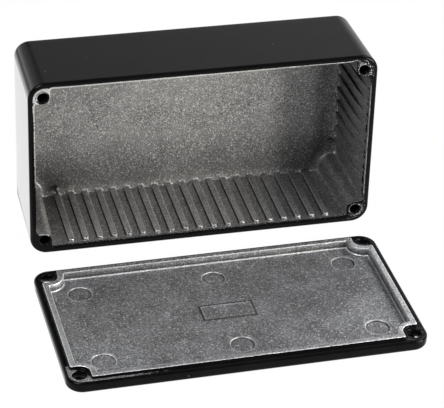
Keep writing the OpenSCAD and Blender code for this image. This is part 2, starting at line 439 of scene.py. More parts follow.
def tapped_hole(angle):
    """A chamfered mouth, a thread, a plain bore and the drill's pointed end."""
    turns = int(thread_run / thread_pitch)
    top = depth - tap_mouth
    z = span(top, top - turns * thread_pitch, turns * thread_rings + 1)[:, None]
    tip = depth - tap_depth - tap_r / np.tan(drill_point / 2)
    return np.concatenate([bored(angle, column([mouth_r]), column([depth])),
                           bored(angle, tap_r + thread(z, angle, thread_height), z),
                           bored(angle, column([tap_r, 0]), column([depth - tap_depth, tip]))])


def stub(place, reach):
    """An oval stub on the inner base: a rounded profile turned about its axis, stretched along x and y."""
    turn = span(0, 360, 17)[None, :-1] * DEGREE
    radius, z = column(STUB_RADIUS), base_t + column(STUB_RISE)
    return np.stack(np.broadcast_arrays(place[0] + radius * reach[0] * np.cos(turn),
                                        place[1] + radius * reach[1] * np.sin(turn), z), axis=-1)


# %% [markdown]
# Now the quarter of the box is carried round its outlines: base, outer wall, rim, land with its hole, inner
# wall and inner base. The outer wall has no ribs, so its points are drawn together onto a few places along
# each side, and the quilt drops the faces that close up. A paint value of 0 means that it is worked out
# later.

# %% The box
PAINTED, BARE = 4.0, -4.0
least_corner_r = 2.1


def drawn_together(places):
    """Places moved to the nearest middle of a rib or of a slot."""
    return np.round(places * 2 / rib_pitch) * rib_pitch / 2


def box_quilt():
    """The quilt of the whole box."""
    quilt = Quilt()
    inset, z = map(column, box_inner_section())
    lean = (depth - z) * np.tan(draft)
    ramp = rising(depth - z, rib_stop, rib_stop + rib_ramp)
    short_run, long_run = ribbed_run(half_y, 0 * z, ramp), ribbed_run(half_x, np.maximum(z - nose_z, 0))
    short_points = short_run[0].shape[1]
    radius = pillar_r + (depth - z) * np.tan(pillar_draft) + inset
    inner = pillar_outline(z, half_x - wall - lean - inset, half_y - wall - lean - inset, radius,
                           pillar_fillet, short_run, long_run)
    inset, z = map(column, outer_section(depth, base_edge_r, rim_edge_r, box_climb,
                                         base_edge_rings, rim_edge_rings))
    corner = np.maximum(corner_r - inset, least_corner_r)
    outer = round_outline(z, half_x - inset, half_y - inset, corner, drawn_together(short_run[0]),
                          drawn_together(long_run[0]), inner)
    quilt.add(flat_sheet(outer[0], short_points)[::-1], PAINTED)
    quilt.add(outer, PAINTED)
    _, angle = add_land(quilt, outer[-1], inner[0], short_points, lambda heights: 0 * heights + mouth_r)
    quilt.add(tapped_hole(angle), PAINTED, ring=True)
    quilt.add(inner)
    quilt.add(flat_sheet(inner[-1], short_points), BARE)
    last_x, last_y = long_run[0].max() - rib_pitch / 2, short_run[0].max() - rib_pitch / 2
    quilt.add(stub((last_x, inner[-1, -1, 1] - stub_inset), (stub_width, stub_length)), BARE, ring=True)
    quilt.add(stub((inner[-1, 0, 0] - stub_inset, last_y), (stub_length, stub_width)), BARE, ring=True)
    return quilt


box_points, box_paint, box_corners, box_counts = box_quilt().sewn()
print("points of the box that wait for a paint value:", int((box_paint == 0).sum()), "of", len(box_paint))

# %% [markdown]
# The box was painted with its mouth covered, so the paint stops at the rim. Some spray got under the cover:
# it darkens the front of the lower wall and leaves dashes behind the right edge. The paint value says this
# in millimetres: above zero on painted metal, below zero on bare metal, and zero at the edge between them.
# The spray value says how far noise moves that edge.

# %% Paint on the rim and the walls of the box
FLUSH = 0.01
LEAST_PAINT, WALL_PAINT, RIM_PAINT = -2.0, 1.5, 3.0
PLAIN_SPRAY, RIM_SPRAY = 0.2, 0.8


def inset_of(points, half, radius):
    """How far points lie inside a rectangle with round corners: its signed distance, turned round."""
    beyond = np.abs(points[:, :2]) - (np.array(half) - radius)
    outside = np.linalg.norm(np.maximum(beyond, 0), axis=1)
    return radius - outside - np.minimum(beyond.max(axis=1), 0)


def box_sides(points):
    """Shares of the lower wall, the right end, the left end and the lower half of the left end."""
    x, y = points[:, 0], points[:, 1]
    left_end = rising(-x, 50, 56)
    return rising(-y, 22, 28), rising(x, 50, 56), left_end, left_end * falling(y, -12, 8)


def right_dashes(y, behind):
    """Spray behind the right edge: dashes where a wave along y is high, over a film that thins out."""
    wave = 0.5 + 0.5 * np.sin(2.1 * y + 1.7 * np.sin(0.9 * y))
    line = rising(behind, 0.4, 0.9) * falling(behind, 2.4, 3.2)
    return 2.6 * wave * line + np.interp(behind, [0, 0.5, 1, 5], [1.3, 1.1, 0.6, 0])


def rim_and_wall_paint(points):
    """Paint and spray values. On the rim the paint ends at a width that differs from side to side, and on
    the walls it thins out with the depth behind the rim."""
    x, y, behind = points[:, 0], points[:, 1], depth - points[:, 2]
    lower, right_end, left_end, low_left = box_sides(points)
    right = right_end * (1 - lower)
    pillar_edge = falling(np.linalg.norm(points[:, :2] + hole, axis=1), 3.1, 3.6) * (y > -hole[1])
    covered = np.maximum(low_left * (1 - pillar_edge), rising(x, 5, 45) * rising(y, 20, 26))
    ragged = falling(behind, 0, 0.5)
    wall_value = LEAST_PAINT + lower * (3.2 - 0.9 * behind) + right * right_dashes(y, behind)
    wall_value += np.maximum(1.8 * ragged * (1 - right), covered * (3.2 - 4 * behind))
    wall_value -= 2.4 * ragged * pillar_edge
    rim_width = 1.62 + 0.35 * right_end + 0.17 * left_end + 0.13 * low_left
    rim_value = (rim_width - inset_of(points, (half_x, half_y), corner_r)) * 10 + 6 * lower
    wall_spray = 0.15 + 0.85 * np.max([lower, right, 0.3 * covered, 0.5 * ragged], axis=0)
    paint = np.where(behind < FLUSH, np.clip(rim_value, LEAST_PAINT, RIM_PAINT),
                     np.clip(wall_value, LEAST_PAINT, WALL_PAINT))
    return paint, np.where(behind < FLUSH, RIM_SPRAY, wall_spray)


# %% [markdown]
# Each screw land met the spray in its own way. The upper left one was rubbed bare, but for a ring at the
# hole, the two on the right are speckled, and the lower left one is painted. A hole's chamfer is painted on
# one half alone.

# %% Paint on the screw lands
LAND_PAINT = {(-1, 1): (-0.95, 0.7), (1, 1): (0.45, 1.0), (-1, -1): (2.0, 0.2), (1, -1): (0.55, 1.0)}
land_near, land_far, rubbed_inset, ring_width = 4.8, 6.4, 1.5, 0.6


def land_paint(points, paint, spray):
    """The same values with those of the lands worked in, by a smooth step round each hole."""
    inset = inset_of(points, (half_x, half_y), corner_r)
    for side, (value, rough) in LAND_PAINT.items():
        spoke = points[:, :2] - hole * side
        away = np.linalg.norm(spoke, axis=1)
        upper_left = (spoke[:, 1] - spoke[:, 0]) / np.maximum(away, 1e-6) / np.sqrt(2)
        at_mouth = falling(away, mouth_r, mouth_r + ring_width)
        face = np.full(len(points), value)
        if value < 0:
            face = np.where(inset > rubbed_inset, value + 3.2 * at_mouth, PAINTED)
            rough = rough + 0.3 * at_mouth
        elif value < 1:
            face = value - 0.7 * falling(away, 2.4, 3.6) * np.abs(upper_left)
        if value < 1:
            face = np.where(away < mouth_r + FLUSH, (value < 0) - 2.5 * upper_left, face)
        share = (depth - points[:, 2] < FLUSH) * falling(away, land_near, land_far)
        paint = paint * (1 - share) + face * share
        spray = spray * (1 - share) + rough * share
    return paint, spray


# %% [markdown]
# The third value is wear and painted light: above zero where bare metal is rubbed bright or has a
# painted highlight, below zero where it holds grime or painted shade. Hands and cards rub the rim's inner
# edge and the tops of the ribs, and these also get painted highlights, while the rib flanks get painted
# shade. The inner base gets painted shade low down and the right wall's painted shadow along its right end.

# %% Rubbed metal, painted highlights and painted shade of the box
# Values along a rib's profile: painted shade on the flanks and painted highlights on the rubbed edges. On a
# nose: a painted bright outline, with painted shade on its front.
RIB_RISE = [0, 0.05, 0.18, 0.8, 0.88, 0.97, 1.0]
RIB_WEAR_AND_SHADE = [0.17, -0.2, -1.4, -1.3, 0.85, 0.85, 0.08]
NOSE_HIGHLIGHT_AND_SHADE = [-0.2, -0.5, -0.8, -0.5, 0.5, 0.5, 0.1]
RIB_REACH, LEAST_RAMP = 1.1, 0.05
ACROSS_X, ACROSS_Y = 0, 1


def rib_rise(points, axis, ramped):
    """How far up the ribs points lie, as a share of the height there, and which points are on ribs. axis is
    the one that the walls stand across."""
    behind = depth - points[:, 2]
    halves = half_x, half_y
    rise = (halves[axis] - wall - behind * np.tan(draft) - np.abs(points[:, axis])) / rib_h / ramped
    along = np.abs(points[:, 1 - axis]) < halves[1 - axis] - rib_margin + rib_pitch / 2
    return rise, along & (rise < RIB_REACH) & (behind > rib_stop) & (points[:, 2] > base_t + base_fillet)


def box_wear_and_painted_light(points):
    """Wear and painted light of the rim's inner edge, and then of the ribs: painted highlights on rubbed
    edges, painted shade on the flanks, brighter on top towards the front.
    """
    x, y, z = points.T
    behind = depth - z
    lower, right_end, left_end, low_left = box_sides(points)
    right = right_end * (1 - lower)
    # The rim's inner edge is rubbed bare and lightened, most at the upper left and least at the right: wear
    # with a painted highlight. Bare specks on the rim near the right end are darkened.
    marking = falling(behind, 0.05, 0.55) * np.maximum(1 - 0.7 * rising(x, -10, 40), 0.15 * right)
    marking = marking * (1 - 0.4 * left_end - 0.5 * low_left)
    marking = np.where((behind < FLUSH) & (x > half_x - 9), -0.3, marking)
    ramped = np.maximum(rising(behind, rib_stop, rib_stop + rib_ramp), LEAST_RAMP)
    for axis, rib_share in ((ACROSS_Y, 1.0), (ACROSS_X, ramped)):
        rise, ribbed = rib_rise(points, axis, rib_share)
        front = rising(z, base_t, base_t + depth) * np.where(rise > 0.84, 0.4, -0.12)
        rib_wear_and_shade = np.interp(rise, RIB_RISE, RIB_WEAR_AND_SHADE) + front
        # On the short walls the painted shade and highlights fade out along the ramp and are strongest
        # towards the upper side.
        if axis == ACROSS_X:
            rib_wear_and_shade = rib_wear_and_shade * ramped ** 1.5 * (0.15 + 0.75 * rising(y, -4, 18)) + 0.2 * right * (1 - ramped)
        else:
            rib_wear_and_shade = np.where((z > nose_z + 0.3) & (rise > 0.1), np.interp(rise, RIB_RISE, NOSE_HIGHLIGHT_AND_SHADE), rib_wear_and_shade)
        marking = np.where(ribbed, rib_wear_and_shade, marking)
    return marking


def base_painted_shade(points):
    """Painted shade on the inner base: the right wall's painted shadow along its right end, and darker low
    down, most at the lower left.
    """
    x, y = points[:, 0], points[:, 1]
    return -0.6 * rising(x, 45, 54) - rising(-y, 8, 24) * (0.35 + 0.4 * rising(-x, 30, 50))


def box_values(points, paint):
    """The three values that the finish reads."""
    waits = paint == 0
    edge, spray = land_paint(points, *rim_and_wall_paint(points))
    wear_and_painted_light = np.where(waits, box_wear_and_painted_light(points), np.where(paint == BARE, base_painted_shade(points), 0))
    return {"paint": np.where(waits, edge, paint), "spray": np.where(waits, spray, PLAIN_SPRAY),
            "wear_and_painted_light": wear_and_painted_light}


box = make_piece("cast_box", box_points, box_corners, box_counts, box_origin, box_axes,
                 box_values(box_points, box_paint))
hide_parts("enclosure_body")

# %% [markdown]
# The lid is a shallow tray. Its flange covers the rim of the box, and its lip plugs into the mouth and
# steps back round each screw hole. The floor shows six round marks where pins pushed the casting out of its
# mould, and a thin raised frame. It is one grid: its lines lie close together at the marks and the frame,
# and at a mark its square rings are bent into circles.

# %% Floor of the lid
flange_t, lid_floor_t, lip_h, lip_t, lip_gap = 4.0, 2.0, 1.0, 2.0, 0.4
mark_r, mark_depth, mark_square, mark_soft = 3.9, 0.45, 4.4, 0.15
mark_pitch_x, mark_pitch_y = 46.0, 38.6
frame_x, frame_y, frame_line, frame_h = 8.6, 3.75, 0.6, 0.12
mark_edge = mark_r + np.array([-0.5, -0.2, -0.1, 0, 0.1, 0.2])
mark_lines = np.concatenate([[0, 1.4, 2.6], mark_edge, [mark_square]])
frame_lines = np.array([-0.5, -0.25, 0, 0.15, 0.6, 0.8])


def floor_lines():
    """Grid lines of one quarter along x and y: those of the marks and the frame, and plain ones between."""
    both = np.concatenate([-mark_lines[:0:-1], mark_lines])
    plain = span(12, mark_pitch_x - 8, 8)
    x = np.concatenate([mark_lines, [6.8], frame_x + frame_lines, plain, mark_pitch_x + both])
    y = np.concatenate([[0, 2.0], frame_y + frame_lines, [7.5, 11], mark_pitch_y / 2 + both])
    return x, y


def square_rings(u, v):
    """Which square ring about a middle each point lies on, and the factor that moves it onto a circle."""
    ring = np.maximum(np.abs(u), np.abs(v))
    return ring, ring / np.maximum(np.hypot(u, v), 1e-9)


def floor_grid(x, y):
    """One quarter of the floor: squares bent into circles and sunk at each mark, and a step up where the
    distance to the frame's middle line is small."""
    x, y = np.meshgrid(x, y)
    z = np.full(x.shape, lid_floor_t)
    for middle_x in (0, mark_pitch_x):
        u, v = x - middle_x, y - mark_pitch_y / 2
        ring, onto_circle = square_rings(u, v)
        stretch = 1 + (onto_circle - 1) * falling(ring, mark_r + mark_soft, mark_square)
        x, y = middle_x + u * stretch, mark_pitch_y / 2 + v * stretch
        z = z - mark_depth * falling(ring, mark_r - mark_soft, mark_r + mark_soft)
    from_line = np.abs(np.maximum(np.abs(x) - frame_x, np.abs(y) - frame_y))
    z = z + frame_h * falling(from_line, frame_line / 3, 2 * frame_line / 3)
    return np.stack([x, y, z], axis=-1)


print("grid lines in a quarter of the floor:", [len(lines) for lines in floor_lines()])

# %% [markdown]
# The section of the lid climbs from the outer face round its soft edge to the flange, then over the lip and
# down to the floor. At the corners the countersinks of the outer face cut into the soft edge, so there its
# rings start a little higher.

# %% Section of the lid
lid_face_r, flange_edge_r, edge_steps, edge_rings = 1.5, 0.8, 60, 10
lid_hole_r, lid_hole_edge, sink_r, sink_land = 2.25, 0.25, 3.9, 0.08
lip_foot_r, lip_edge_r, lip_round, floor_fillet = 0.3, 0.3, 0.35, 0.6
lid_half = lid_reach[:2] + flange_edge_r * np.tan(draft)
lid_corner_r = corner_r - (half_x - lid_half[0])
lip_half = np.array([half_x, half_y]) - wall - lip_gap
lip_top, notch_r = flange_t + lip_h, 3.5
lid_climb, flange_rings = np.array([2.4]), 7
LIP_FOOT_RINGS, LIP_EDGE_RINGS = 4, 5


def lip_section():
    """Inset from the lip's outline and height, from the flange over the lip to the floor."""
    foot = arc((-lip_foot_r, flange_t + lip_foot_r), lip_foot_r, 270, 360, LIP_FOOT_RINGS)
    outer = arc((lip_edge_r, lip_top - lip_edge_r), lip_edge_r, 180, 90, LIP_EDGE_RINGS)
    inner = arc((lip_t - lip_edge_r, lip_top - lip_edge_r), lip_edge_r, 90, 0, LIP_EDGE_RINGS)
    floor = arc((lip_t + floor_fillet, lid_floor_t + floor_fillet), floor_fillet, 180, 270, 6)
    return section(foot, outer, ([lip_t / 2], [lip_top]), inner, floor)


def lip_paint():
    """Paint values of the lip's rings: painted up the outer face, then fading to bare over the edge."""
    rings = len(lip_section()[0])
    return np.concatenate([np.full(LIP_FOOT_RINGS, 2.0), span(1.9, -2, LIP_EDGE_RINGS),
                           np.zeros(rings - LIP_FOOT_RINGS - LIP_EDGE_RINGS)])


def trimmed(rings, start, count):
    """Rings spaced evenly from a start that differs along the outline: a blend of the two nearest rings."""
    place = start + (len(rings) - 1 - start) * span(0, 1, count)[:, None]
    below = np.minimum(place.astype(int), len(rings) - 2)
    share = (place - below)[..., None]
    along = np.arange(rings.shape[1])
    return rings[below, along] * (1 - share) + rings[below + 1, along] * share


# %% [markdown]
# The quarter of the lid is sewn like that of the box. Its outlines take their places along the sides from
# the grid lines of the floor, so that the foot of the lip meets the floor point by point.

# %% The lid
face_inset, face_margin, face_fillet, bore_middle = 1.0, 0.8, 0.5, 2.8


def lid_quilt():
    """The quilt of the whole lid."""
    quilt = Quilt()
    x_lines, y_lines = floor_lines()
    in_corner = CORNER_POINTS // 2
    short_places, long_places = y_lines[None, :-in_corner], x_lines[None, :-in_corner - 1]
    runs = (short_places, 0 * short_places), (long_places, 0 * long_places)
    short_points = short_places.shape[1]
    inset, z = map(column, lip_section())
    lip = pillar_outline(z, lip_half[0] - inset, lip_half[1] - inset, notch_r + inset, lip_round, *runs)
    inset, z = map(column, outer_section(flange_t, lid_face_r, flange_edge_r, lid_climb,
                                         edge_steps, flange_rings))
    outer = round_outline(z, lid_half[0] - inset, lid_half[1] - inset, lid_corner_r - inset,
                          short_places, long_places, lip)
    soft_edge = outer[:edge_steps]
    clear = np.linalg.norm(soft_edge[..., :2] - hole, axis=-1) > sink_r - soft_edge[..., 2] + sink_land
    outer = np.concatenate([trimmed(soft_edge, clear.argmax(axis=0), edge_rings), outer[edge_steps:]])
    face_half, face_corner = lip_half - face_inset, column([sink_r + face_margin])
    face = pillar_outline(0.0, *face_half, face_corner, face_fillet, *runs)[0]
    quilt.add(flat_sheet(face, short_points)[::-1], PAINTED)
    under, _ = add_land(quilt, outer[0], face, short_points, lambda heights: sink_r - heights, PAINTED, -1)
    quilt.add(outer, PAINTED)
    over, angle = add_land(quilt, outer[-1], lip[0], short_points,
                           lambda heights: 0 * heights + lid_hole_r + lid_hole_edge)
    bore_z = [flange_t - lid_hole_edge, bore_middle, sink_r - lid_hole_r]
    bore = bored(angle, column([lid_hole_r] * len(bore_z)), column(bore_z))
    quilt.add(np.concatenate([over[-1:], bore, under[-1:]]), PAINTED / 2, ring=True)
    quilt.add(lip, column(lip_paint()))
    floor = floor_grid(x_lines, y_lines)
    border = np.concatenate([floor[:, -1], floor[-1, -2::-1]])
    quilt.add(np.stack([lip[-1], border]), BARE)
    quilt.add(floor, BARE)
    return quilt


lid_points, lid_paint, lid_corners, lid_counts = lid_quilt().sewn()
print("points of the lid that wait for a paint value:", int((lid_paint == 0).sum()), "of", len(lid_paint))

# %% [markdown]
# The flange is painted up to the foot of the lip. Its near left was rubbed bare, and the land at the near
# right is dusty. The top of the lip is bare, but spray reaches it along the long sides. The lip's edges and
# foot get painted highlights and its inner faces painted shade. On the floor the edges of the marks get
# painted highlights and painted shade, a painted shade line runs beside the frame, and some places are
# made a little darker.

# %% Paint, wear and painted light of the lid
# Painted shade just inside each mark's edge and a painted highlight just outside it; a lighter line on the
# frame's inner side and painted shade beside it.
MARK_AT, MARK_HIGHLIGHT_AND_SHADE = [-0.45, -0.2, 0, 0.1, 0.2, 0.5], [0, -0.9, -0.6, 0.8, 0.8, 0]
FRAME_HIGHLIGHT_AND_SHADE = [0, 0.5, -0.3, -1.2, -1.2, 0]
# A painted highlight at the foot of the lip's inner faces, and painted shade over the rest of them.
FOOT_RISE, FOOT_HIGHLIGHT = np.array([0.01, 0.1, 0.25, 0.5]), [0, 0.7, 0.5, 0]
INNER_FACE_SHADE = -0.85


def flange_wear(points):
    """Two shares on the flange: rubbed bare at the near left, and dusty at the near right."""
    x, y, spoke = points[:, 0], points[:, 1], points[:, :2] + hole
    near_edge = rising(-y, 29.5, 31) * rising(-x, 24, 54)
    corner = falling(np.linalg.norm(spoke, axis=1), 7, 9) * falling(spoke.sum(axis=1), 0, 3)
    dusty = falling(np.linalg.norm(spoke - 2 * hole * [1, 0], axis=1), 4.5, 6.5)
    return np.maximum(near_edge, corner), dusty


def floor_painted_light_and_patches(points):
    """Painted highlights and painted shade at the edges of the marks and along the frame, less some darker
    patches.
    """
    x, y = points[:, 0], points[:, 1]
    side = np.abs(x)
    beyond_mark = np.min([np.hypot(side - middle_x, np.abs(y) - mark_pitch_y / 2) - mark_r
                          for middle_x in (0, mark_pitch_x)], axis=0)
    beyond_frame = np.maximum(side - frame_x, np.abs(y) - frame_y)
    painted_traces = np.interp(beyond_mark, MARK_AT, MARK_HIGHLIGHT_AND_SHADE) + np.interp(beyond_frame, frame_lines, FRAME_HIGHLIGHT_AND_SHADE)
    # Some places of the floor are made darker: towards the far corners, in a band at the left, towards the
    # right and at the middle of the near side.
    darker_patches = 0.16 * rising(y, -4, 8) * rising(side, 20, 40)
    darker_patches += 0.2 * np.exp(-((x + 27.5) / 5) ** 2) * falling(y, -8, 4)
    darker_patches += 0.05 + 0.12 * rising(x, -10, 30)
    darker_patches += 0.17 * rising(-y, 6, 16) * falling(side, 2, 18)
    return painted_traces - darker_patches


def lid_values(points, paint):
    """The three values that the finish reads. The lip's edges are rubbed and get painted highlights, its
    foot a painted highlight, and its inner faces painted shade.
    """
    waits, y, height = paint == 0, points[:, 1], points[:, 2]
    marking, dusty = flange_wear(points)
    far_lip, near_lip = rising(y, 26, 29), rising(-y, 26, 29)
    on_flange = np.abs(height - flange_t) < 2 * FLUSH
    on_lip, on_edge = height > lip_top - FLUSH, height > lip_top - lip_edge_r - FLUSH
    flange_value = np.where(marking > 0.01, 0.3 - 0.75 * marking, 2.0 - 1.72 * dusty)
    edge = np.where(on_flange, flange_value,
                    np.where(on_lip, 1.85 * far_lip + 1.5 * near_lip - 2.2, LEAST_PAINT))
    spray = 0.15 + np.maximum(0.2 * marking, 0.12 * dusty)
    spray = np.where(on_edge, 0.3 + 0.6 * far_lip + 0.6 * near_lip, spray)
    # Painted highlights on the lip's rounded edges, over rubbed metal; the lip's top is rubbed lighter.
    wear_and_painted_light = np.where(on_edge, 1.0 - 0.55 * far_lip, 0.0)
    wear_and_painted_light = np.where(on_lip, 0.45 - 0.4 * far_lip - 0.3 * near_lip, wear_and_painted_light)
    # A painted highlight along the foot of the lip's inner faces, and painted shade over the rest of them.
    wear_and_painted_light += waits * np.interp(height, lid_floor_t + FOOT_RISE, FOOT_HIGHLIGHT)
    inner_face = waits & (height > lid_floor_t + FOOT_RISE[-1]) & ~on_edge & ~on_flange
    wear_and_painted_light = np.where(inner_face, INNER_FACE_SHADE, wear_and_painted_light)
    wear_and_painted_light = np.where(paint == BARE, wear_and_painted_light + floor_painted_light_and_patches(points), wear_and_painted_light)
    return {"paint": np.where(waits, edge, paint), "spray": np.where(waits | on_edge, spray, PLAIN_SPRAY),
            "wear_and_painted_light": wear_and_painted_light}


lid = make_piece("cast_lid", lid_points, lid_corners, lid_counts, lid_origin, lid_axes,
                 lid_values(lid_points, lid_paint))
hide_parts("enclosure_lid")

# %% [markdown]
# Four countersunk machine screws close the box. A screw is a profile turned about its axis, and its thread
# is a ridge that climbs as it turns. The face of the head is a square grid with its outer rings bent into
# circles, so that the arms of the cross recess follow the grid lines.

# %% One screw
screw_low, screw_high = [np.array(corner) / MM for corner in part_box("lid_screws")]
screw_count, screw_r, head_r, head_edge = 4, 1.95, 3.7, 0.3
recess_r, recess_w, recess_depth, recess_wall = 2.1, 0.9, 2.0, 0.06
head_edge_r, neck_r, cut_height, cut_rings = 0.2, 0.2, 0.36, 7
tip_inset, tip_h, neck_blend, cut_start, cut_end = 0.5, 0.6, 0.15, 0.4, 0.8
screw_length = screw_high[2] - screw_low[2]
face_r = head_r - 0.25


def screw_face():
    """The head's face: square rings bent into circles outside the recess. In an arm of the cross the depth
    grows straight from the arm's end to its root."""
    half = np.array([0, 0.2, 0.4, recess_w / 2, recess_w / 2 + recess_wall, 0.8, 1.2, 1.6, 1.9,
                     recess_r, 2.4, 2.9, face_r])
    lines = np.concatenate([-half[:0:-1], half])
    u, v = np.meshgrid(lines, lines)
    arm = np.minimum(np.abs(u), np.abs(v))
    ring, onto_circle = square_rings(u, v)
    stretch = 1 + (onto_circle - 1) * rising(ring, recess_r, face_r)
    sunk = recess_depth * np.clip((recess_r - ring) / (recess_r - recess_w / 2), 0, 1)
    return np.stack([u * stretch, v * stretch, np.where(arm < recess_w / 2 + FLUSH, sunk, 0)], axis=-1)


def screw_quilt():
    """The quilt of one screw, on its head: face, head, thread and tip."""
    quilt = Quilt()
    face = screw_face()
    rim = np.concatenate([face[0, :-1], face[:-1, -1], face[-1, :0:-1], face[:0:-1, 0]])
    angle = np.arctan2(rim[:, 1], rim[:, 0])[None]
    neck = head_edge + head_r - screw_r
    start, end = neck + cut_start, screw_length - cut_end
    z = span(start, end, int((end - start) / thread_pitch * cut_rings))[:, None]
    cut = screw_r - thread(z, angle, cut_height)
    edge = arc((head_r - head_edge_r, head_edge_r), head_edge_r, 270, 360, 5)
    cone = [head_r, screw_r + neck_r, screw_r], [head_edge, neck - neck_r, neck + neck_blend]
    head, head_z = map(column, section(([face_r], [0.0]), edge, cone))
    tip = column([screw_r, screw_r - tip_inset, 0])
    tip_z = column([screw_length - tip_h, screw_length, screw_length])
    radius = np.concatenate([np.repeat(head, angle.size, axis=1), cut, np.repeat(tip, angle.size, axis=1)])
    height = np.broadcast_to(np.concatenate([head_z, z, tip_z]), radius.shape)
    turned = np.stack([*on_circle(0, 0, radius, angle), height], axis=-1)
    quilt.add(face[::-1], quarters=WHOLE)
    quilt.add(turned, ring=True, quarters=WHOLE)
    return quilt


one_points, _, one_corners, one_counts = screw_quilt().sewn()
print("one screw is", round(float(screw_length), 2), "mm long and has", len(one_points), "points")

# %% [markdown]
# The screws stand on their heads behind the box. They are one piece, because the CAD model holds them as
# one node: the points of one screw are moved to four places.

# %% Four screws in a row
screw_x = span(screw_low[0] + head_r, screw_high[0] - head_r, screw_count)
screw_y = (screw_low[1] + screw_high[1]) / 2
places = np.stack([screw_x, np.full(screw_count, screw_y), np.zeros(screw_count)], axis=1)
screws = make_piece("countersunk_screws", (one_points + places[:, None]).reshape(-1, 3),
                    (one_corners + len(one_points) * np.arange(screw_count)[:, None]).ravel(),
                    np.tile(one_counts, screw_count), np.zeros(3), np.eye(3))
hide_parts("lid_screws")

# %% [markdown]
# Finishes are written as sums and products of sockets. One small class wraps a socket: its operators add
# Math nodes, and one method adds any other node, with its settings first and its sockets after them.

# %% Shader maths
class Wire:
    """A socket of a shader. Operators add Math nodes, and node() adds any other kind."""

    def __init__(self, tree, socket=None):
        self.tree, self.socket = tree, socket

    def node(self, kind, settings=(), sockets=(), out=0):
        """A new node: its settings first, then its socket values and links. Gives one output."""
        made = self.tree.nodes.new(kind)
        for key, value in dict(settings).items():
            setattr(made, key, value)
        for key, value in dict(sockets).items():
            if isinstance(value, Wire):
                self.tree.links.new(value.socket, made.inputs[key])
            else:
                made.inputs[key].default_value = value
        return Wire(self.tree, made.outputs[out] if made.outputs else None)

    def maths(self, operation, first, second=0.0):
        """A Math node of an operation on wires or numbers."""
        return self.node("ShaderNodeMath", {"operation": operation}, {0: first, 1: second})

    def __add__(self, other):
        return self.maths("ADD", self, other)

    __radd__ = __add__

    def __sub__(self, other):
        return self.maths("SUBTRACT", self, other)

    def __rsub__(self, other):
        return self.maths("SUBTRACT", other, self)

    def __mul__(self, other):
        return self.maths("MULTIPLY", self, other)

    __rmul__ = __mul__

    def __abs__(self):
        return self.maths("ABSOLUTE", self)

    def clamped(self):
        """This wire, held between 0 and 1."""
        return self.node("ShaderNodeClamp", {}, {"Value": self})

    def between(self, low, high):
        """A colour that runs from low to high as this wire runs from 0 to 1."""
        return self.node("ShaderNodeMix", {"data_type": "RGBA"}, {0: self, 6: low, 7: high}, out=2)

    def noise(self, size, detail, rough=0.5):
        """Noise over this wire's places, with features of about a size in metres."""
        return self.node("ShaderNodeTexNoise", {},
                         {"Vector": self, "Scale": 1 / size, "Detail": detail, "Roughness": rough})


def grey(value, warm=0.0):
    """A grey colour, with more red and less blue by a share called warm."""
    return value * (1 + warm), value, value * (1 - warm), 1.0


def new_finish(name):
    """An empty material and a wire to start from."""
    material = bpy.data.materials.new(name)
    material.use_nodes = True
    material.node_tree.nodes.clear()
    return material, Wire(material.node_tree)


def dress(piece, material):
    """Gives a piece its finish."""
    piece.data.materials.append(material)
    print(piece.name, "wears", material.name, "with", len(material.node_tree.nodes), "nodes")


# %% [markdown]
# A bare die casting isn't smooth: the metal freezes against a rough mould and is blasted with grit, so it
# is a field of tiny dents that catch the light one by one. The paint is a thin smooth black coat over that.
# One finish holds both: the paint value, roughened by noise, decides which of them shows, so near its edge
# the paint breaks up into specks. The wear and painted light value brightens the grain where the metal is
# rubbed or has a painted highlight, and darkens it where grime or painted shade sits. Grains picked by
# chance are painted lighter as glints.

# %% Painted casting
speck_size, patch_size, dent_depth = 0.55 * MM, 9 * MM, 0.12 * MM
# The light grey stands for rubbed metal, painted highlights and painted glints; the near black for grime and
# painted shade.
polished_and_highlight_grey, grime_and_shade_grey, dusty_grey = grey(0.85), grey(0.02), grey(0.3)
deep_black, thin_black = grey(0.001, -0.03), grey(0.005, -0.03)
paint_specular = 0.07


